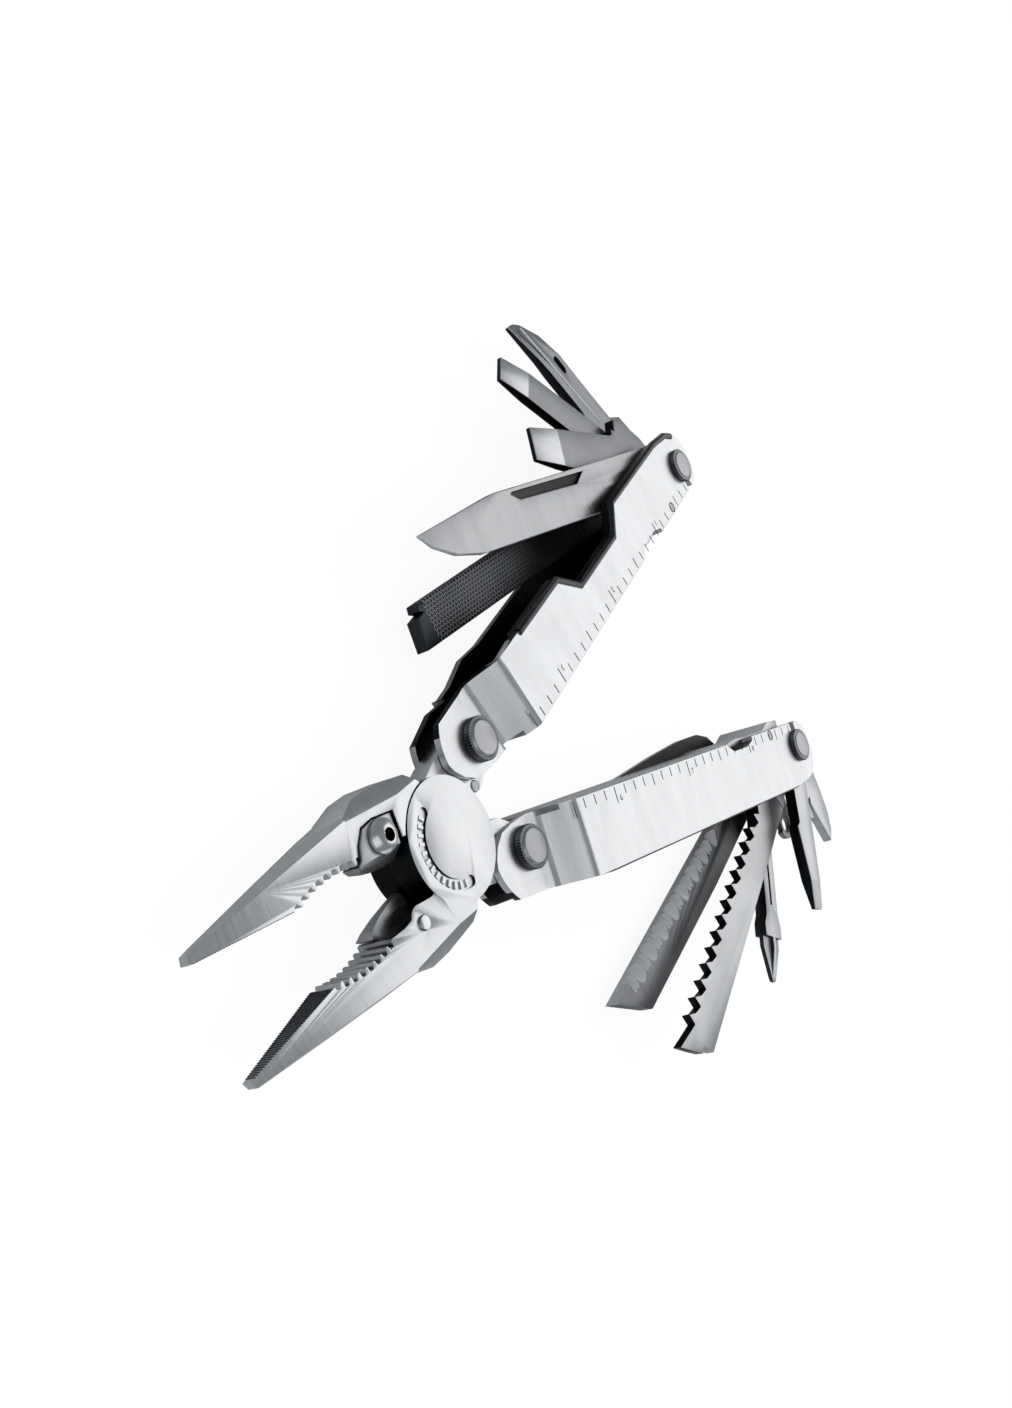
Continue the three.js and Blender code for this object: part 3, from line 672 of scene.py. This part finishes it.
class MULTITOOL_OT_handles(bpy.types.Operator):
    """Finishes the two handle channels, with rolled edges painted black as dark reflection and shade, and insides
    painted black as shade
    """

    bl_idname = "multitool.handles"
    bl_label = "Handles"

    def execute(self, context):
        width = context.scene.multitool_finish.edge
        for letter, place in HANDLE.items():
            node = f"handle_{letter}_channel"
            made = polished_copy(node, 0)
            near = place.near

            def on_opening(point, place=place, near=near, letter=letter):
                along, out = place.local(point)
                top = opening_height(along) if letter == "a" else OPENING_TOP
                on_face = abs(point.z - near) < 0.02 * MM
                return on_face and WALL_START < along < 87 and abs(out - top) < 0.06

            def on_spine(point, place=place, near=near):
                along, out = place.local(point)
                on_face = abs(point.z - near) < 0.02 * MM
                return on_face and 8.8 < along < 95 and abs(out - SPINE_EDGE / MM) < 0.06

            roll_edges(made, (1.15 if letter == "a" else 0.4) * MM, 5, on_opening)
            roll_edges(made, 0.35 * MM, 3, on_spine)
            soften(made, width, 2, 40)
            apply_modifiers(made)
            shade(made, 40)
            hand_over(
                made,
                f"handle_{letter}_shell",
                BODY_OF[node],
                SLOT_OF[node],
                MATERIALS[f"handle_{letter}"],
                MATERIALS["inside"],
                MATERIALS["gloss_black"],
            )
            inner = place.near - 1.0 * MM
            lower = place.far + 1.0 * MM
            neck = place.middle

            # Faces turned into the channel, painted black as the shade inside it.
            def hidden(center, normal, place=place, neck=neck, inner=inner, lower=lower):
                facing = (neck - center.z) * normal.z > 0.5 * abs(neck - center.z)
                return facing or (lower < center.z < inner and normal.dot(place.out) > 0.6)

            def rim(center, normal, place=place, near=near):
                along, out = place.local(center)
                above = center.z > near - 2.0 * MM and normal.z < 0.93
                return above and 15 < along < 97 and abs(normal.dot(place.out)) > 0.2

            # The rolled opening and spine edges are painted black, a painted dark reflection and shade.
            paint_faces(made, 2, rim)
            paint_faces(made, 1, hidden)
        return {"FINISHED"}


class MULTITOOL_OT_metalwork(bpy.types.Operator):
    """Finishes the jaws, tools, locks and pins"""

    bl_idname = "multitool.metalwork"
    bl_label = "Jaws and tools"

    def execute(self, context):
        width = context.scene.multitool_finish.edge
        finishes = {
            "lower_jaw": "jaw_lower",
            "upper_jaw": "jaw_upper",
            "knife": "knife",
            "file": "dark",
            "serrated_knife": "serrated",
            "saw": "pale_satin",
            "can_opener": "pale_satin",
            "phillips_screwdriver": "pale_satin",
            "small_screwdriver": "pale_satin",
            "lower_cutter": "pale_satin",
            "upper_cutter": "pale_satin",
            "lower_cutter_screw": "bright",
            "upper_cutter_screw": "bright",
            "handle_a_rocker_lock": "pale_satin",
            "handle_b_rocker_lock": "pale_satin",
        }
        # Extra paint per tool: the pale edge material is a painted highlight on ground faces and tips; the
        # near-black channel material is painted shade in nail nicks, saw gullets, driver side faces and jaw
        # pockets; the dark steel on the Phillips driver's and awl's side faces and the darker jaw bevels are
        # painted shade.
        painted = {
            "knife": (("edge", self.is_ground), ("inside", self.is_nick)),
            "serrated_knife": (("edge", self.is_ground), ("inside", self.is_nick)),
            "saw": (("inside", self.is_gullet),),
            "large_screwdriver": (("ground", self.is_tip), ("inside", self.is_side)),
            "medium_screwdriver": (("ground", self.is_tip), ("inside", self.is_side)),
            "small_screwdriver": (("edge", self.is_tip), ("inside", self.is_side)),
            "phillips_screwdriver": (("dark", self.is_side),),
            "awl": (("dark", self.is_side),),
            "lower_jaw": (("inside", self.is_pocket), ("bevel", self.is_bevel)),
            "upper_jaw": (("inside", self.is_pocket), ("bevel", self.is_bevel)),
        }
        skip = ("handle_a_channel", "handle_b_channel")
        for node, body in BODY_OF.items():
            if node in skip:
                continue
            finish = finishes.get(node, "satin" if SLOT_OF[node] == "satin_steel" else "rivet")
            made = polished_copy(node, width)
            extra = painted.get(node, ())
            materials = [MATERIALS[finish], *(MATERIALS[name] for name, _ in extra)]
            hand_over(made, f"{node}_finished", body, SLOT_OF[node], *materials)
            if node.endswith("_jaw"):
                place = JAW[node.split("_")[0]]
            elif extra:
                place = tool_frame(node)
            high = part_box(node)[1].z
            for index, (_, test) in enumerate(extra, 1):
                paint_faces(
                    made,
                    index,
                    lambda c, n, t=test, f=place, h=high: t(*f.local(c), (h - c.z) / MM, n, f),
                )
        return {"FINISHED"}

    # Each test takes millimetres along, out and below the near face, the normal and the frame.

    def is_ground(self, along, out, depth, normal, place):
        slanted = -0.3 < normal.z < 0.985 and normal.dot(place.out) < 0.1
        return along > 17 and out < 3.6 and slanted

    def is_nick(self, along, out, depth, normal, place):
        return 30 < along < 60 and out > 2.6 and 0.1 < depth < 1.2

    def is_gullet(self, along, out, depth, normal, place):
        return along > 12 and out < 2.6 and abs(normal.z) < 0.5

    def is_tip(self, along, out, depth, normal, place):
        return along > 26 and 0.6 < normal.z < 0.9993 and abs(normal.dot(place.out)) < 0.05

    def is_side(self, along, out, depth, normal, place):
        return along > 8 and abs(normal.z) < 0.3

    def is_pocket(self, along, out, depth, normal, place):
        floor = normal.z > 0.9 and 3.4 < depth < 5
        wall = abs(normal.z) < 0.3 and -2 < along < 19.2 and out < 8.1
        teeth = 18.5 < along < 31 and out < 4 and normal.dot(place.along) < -0.35
        return floor or wall or teeth

    # Slanted faces of the jaws, painted darker as shade.
    def is_bevel(self, along, out, depth, normal, place):
        return along > 3 and 0.2 < normal.z < 0.97 and normal.dot(place.out) > 0.2


class MULTITOOL_OT_grips(bpy.types.Operator):
    """Adds the fine grip lines on the jaws as dark bars of painted shade, the ribs of the boss, the awl's ridge as
    a painted highlight and the knurls painted dark as shade
    """

    bl_idname = "multitool.grips"
    bl_label = "Grips and knurls"

    def execute(self, context):
        for name, place in JAW.items():
            places = []
            for i in range(GRIP_COUNT):
                along = GRIP_START + i * GRIP_STEP
                out = 0.55 - (along - 31) * 0.0206
                centre = place.at(along, out - 0.02, JAW_MIDDLE)
                places.append((centre, place.turn, along))
            # Thin near-black bars along the gripping lines: painted shade of the grip grooves.
            made = bars(
                f"{name}_jaw_grip",
                places,
                lambda x: (0.2 * MM, 0.14 * MM, 2 * (4.2 - 3.45 * (x - 8) / 40.1) * MM),
            )
            body = BODY_OF[f"{name}_jaw"]
            hand_over(made, made.name, body, "dark_steel", MATERIALS["dark"])
        self.boss_ribs()
        self.rolled_lip()
        self.awl_ridge()
        self.file_cuts()
        for letter, place in HANDLE.items():
            for end, radius, deep, shallow in KNURLS:
                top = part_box(f"handle_{letter}_{end}_rivet")[1].z
                name = f"handle_{letter}_{end}_knurl"
                self.knurl(name, getattr(place, end), radius, top - deep * MM, top - shallow * MM, place)
        return {"FINISHED"}

    def boss_ribs(self):
        """Short plain ribs in the curved slot of the joint boss."""
        centre = Vector(JOINTS["jaw_pivot"]["pos_m"])
        places = []
        for i in range(RIB_COUNT):
            turn = math.radians(RIB_START + RIB_STEP * i)
            spot = centre + Vector((math.cos(turn), math.sin(turn), 0)) * RIB_CIRCLE * MM
            spot.z = -0.28 * MM
            places.append((spot, turn, i))
        made = bars("lower_jaw_ribs", places, lambda key: (1.05 * MM, 0.5 * MM, 0.3 * MM))
        hand_over(made, made.name, BODY_OF["lower_jaw"], "polished_steel", MATERIALS["jaw_lower"])

    def rolled_lip(self):
        """The glossy rolled edge that follows the steps of handle A's near opening, painted black as its dark
        reflection.
        """
        place = HANDLE["a"]
        clear_selection()
        data = bpy.data.curves.new("lip path", "CURVE")
        data.dimensions = "3D"
        data.bevel_depth = 0.72 * MM
        data.bevel_resolution = 5
        data.use_fill_caps = True
        steps = [(16.8, OPENING_TOP), *OPENING_STEPS[1:], (93, 7.2), (95.5, 5.9)]
        spline = data.splines.new("POLY")
        spline.points.add(len(steps) - 1)
        for point, (along, top) in zip(spline.points, steps):
            point.co = (*place.at(along * MM, (top - 0.5) * MM, place.near - 0.3 * MM), 1)
        made = bpy.data.objects.new("handle_a_lip", data)
        bpy.context.scene.collection.objects.link(made)
        pick(made)
        bpy.ops.object.convert(target="MESH")
        made = bpy.context.object
        shade(made, 50)
        hand_over(made, "handle_a_lip", place.body, "dark_steel", MATERIALS["gloss_black"])

    def awl_ridge(self):
        """The pale ridge line down the near face of the awl: a painted highlight."""
        place = tool_frame("awl")
        start, end = place.at(15, 2.6), place.at(41, 0.4)
        middle = (start + end) / 2
        middle.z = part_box("awl")[1].z
        run = end - start
        turn = math.atan2(run.y, run.x)
        made = bars(
            "awl_ridge",
            [(middle, turn, 0)],
            lambda key: (run.length, 0.5 * MM, 0.16 * MM),
        )
        soften(made, 0.06 * MM)
        apply_modifiers(made)
        hand_over(made, made.name, BODY_OF["awl"], "satin_steel", MATERIALS["edge"])

    def file_cuts(self):
        """Crossed rows of small ridges over the near face of the file."""
        place = tool_frame("file")
        low, high = -3.3, 3.9
        start, end = 16.5, 79.5
        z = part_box("file")[1].z
        slope = math.radians(55)
        step = 0.95
        places = []
        for lean in (1, -1):
            across = (high - low) / math.tan(slope)
            count = int((end - start + across) / step)
            for i in range(count):
                foot = start - across + i * step if lean > 0 else start + i * step
                left, right = sorted((foot, foot + lean * across))
                x0, x1 = max(left, start), min(right, end)
                if x1 - x0 < 0.3:
                    continue
                middle = (x0 + x1) / 2
                along_line = (middle - foot) * math.tan(slope) * lean
                length = (x1 - x0) / math.cos(slope)
                centre = place.at(middle, low + along_line, z)
                run = place.at(1, lean * math.tan(slope)) - place.at(0, 0)
                places.append((centre, math.atan2(run.y, run.x), length))
        made = bars("file_cuts", places, lambda length: (length * MM, 0.22 * MM, 0.14 * MM))
        hand_over(made, made.name, BODY_OF["file"], "dark_steel", MATERIALS["file_ridge"])

    def knurl(self, name, centre, radius, low, high, place):
        """A ring of sharp teeth round a rivet's head, with every second edge pulled in, painted dark as the shade
        among its teeth.
        """
        clear_selection()
        teeth = 44
        spot = (centre.x, centre.y, (low + high) / 2)
        bpy.ops.mesh.primitive_cylinder_add(
            vertices=2 * teeth, radius=radius * MM, depth=high - low, location=spot
        )
        made = settle(bpy.context.object)
        middle = Vector((centre.x, centre.y))
        bpy.ops.object.mode_set(mode="EDIT")
        bpy.ops.mesh.select_mode(type="VERT")
        bpy.ops.mesh.select_all(action="DESELECT")
        bpy.ops.object.mode_set(mode="OBJECT")
        for vertex in made.data.vertices:
            offset = vertex.co.xy - middle
            count = round(math.atan2(offset.x, offset.y) / (math.pi / teeth))
            vertex.select = count % 2 == 0
        bpy.ops.object.mode_set(mode="EDIT")
        bpy.ops.transform.resize(value=(0.93, 0.93, 1), center_override=(*middle, spot[2]))
        bpy.ops.object.mode_set(mode="OBJECT")
        hand_over(made, name, place.body, "rivet_steel", MATERIALS["rivet_skirt"])


class MULTITOOL_OT_rulers(bpy.types.Operator):
    """Adds the inch marks and their numbers along both spines"""

    bl_idname = "multitool.rulers"
    bl_label = "Rulers"

    def execute(self, context):
        marks = context.scene.multitool_marks
        for letter, place in HANDLE.items():
            made = []
            end = (place.tool - place.neck).length + 4.2 * MM
            for count in range(2, 29):
                start = end - count * 25.4 * MM / 8
                length = marks.eighth
                if count % 4 == 0:
                    length = marks.half
                if count % 8 == 0 or count == 28:
                    length = marks.inch
                made.append(self.mark(place, start, length))
            for inch in (1, 2, 3):
                text = str(inch if letter == "a" else 9 - inch)
                start = end - inch * 25.4 * MM + 1.3 * MM
                made.append(self.number(place, text, start, marks.digit))
            ruler = merged(made, f"handle_{letter}_ruler")
            hand_over(ruler, ruler.name, place.body, "dark_steel", MATERIALS["mark"])
        return {"FINISHED"}

    def mark(self, place, start, length):
        """One line of a ruler."""
        clear_selection()
        middle = place.at(start, SPINE_EDGE + 0.35 * MM + length / 2, place.near)
        bpy.ops.mesh.primitive_cube_add(size=1, location=middle)
        made = bpy.context.object
        made.scale = (0.2 * MM, length, 0.05 * MM)
        made.rotation_euler.z = math.atan2(place.along.y, place.along.x)
        return settle(made)

    def number(self, place, text, start, size):
        """One number of a ruler, read from the spine."""
        clear_selection()
        bpy.ops.object.text_add(location=place.at(start, SPINE_EDGE + 2.4 * MM, place.near))
        made = bpy.context.object
        made.data.body = text
        made.data.size = size
        made.data.align_x = "CENTER"
        made.data.align_y = "CENTER"
        made.data.extrude = 0.015 * MM
        up = -place.out
        made.rotation_euler.z = math.atan2(-up.x, up.y)
        pick(made)
        bpy.ops.object.convert(target="MESH")
        return settle(bpy.context.object)


class MULTITOOL_PT_panel(bpy.types.Panel):
    """Lists the steps in the 3D view's sidebar"""

    bl_label = "Folding Multi Tool"
    bl_idname = "MULTITOOL_PT_panel"
    bl_space_type = "VIEW_3D"
    bl_region_type = "UI"
    bl_category = "Multi Tool"

    def draw(self, context):
        layout = self.layout
        for name in ("steel", "satin", "dark", "edge"):
            layout.prop(context.scene.multitool_finish, name)
        for name in ("eighth", "half", "inch", "digit"):
            layout.prop(context.scene.multitool_marks, name)
        for operator in OPERATORS:
            layout.operator(operator.bl_idname)


OPERATORS = (
    MULTITOOL_OT_stage,
    MULTITOOL_OT_handles,
    MULTITOOL_OT_metalwork,
    MULTITOOL_OT_grips,
    MULTITOOL_OT_rulers,
)
CLASSES = (MULTITOOL_PG_finish, MULTITOOL_PG_marks, *OPERATORS, MULTITOOL_PT_panel)


def register():
    for cls in CLASSES:
        bpy.utils.register_class(cls)
    scene = bpy.types.Scene
    scene.multitool_finish = bpy.props.PointerProperty(type=MULTITOOL_PG_finish)
    scene.multitool_marks = bpy.props.PointerProperty(type=MULTITOOL_PG_marks)


def unregister():
    del bpy.types.Scene.multitool_marks
    del bpy.types.Scene.multitool_finish
    for cls in reversed(CLASSES):
        bpy.utils.unregister_class(cls)


def main():
    register()
    finish = bpy.context.scene.multitool_finish
    make_materials(finish.steel, finish.satin, finish.dark)
    bpy.ops.multitool.stage()
    bpy.ops.multitool.handles()
    bpy.ops.multitool.metalwork()
    bpy.ops.multitool.grips()
    bpy.ops.multitool.rulers()


if __name__ == "__main__":
    main()
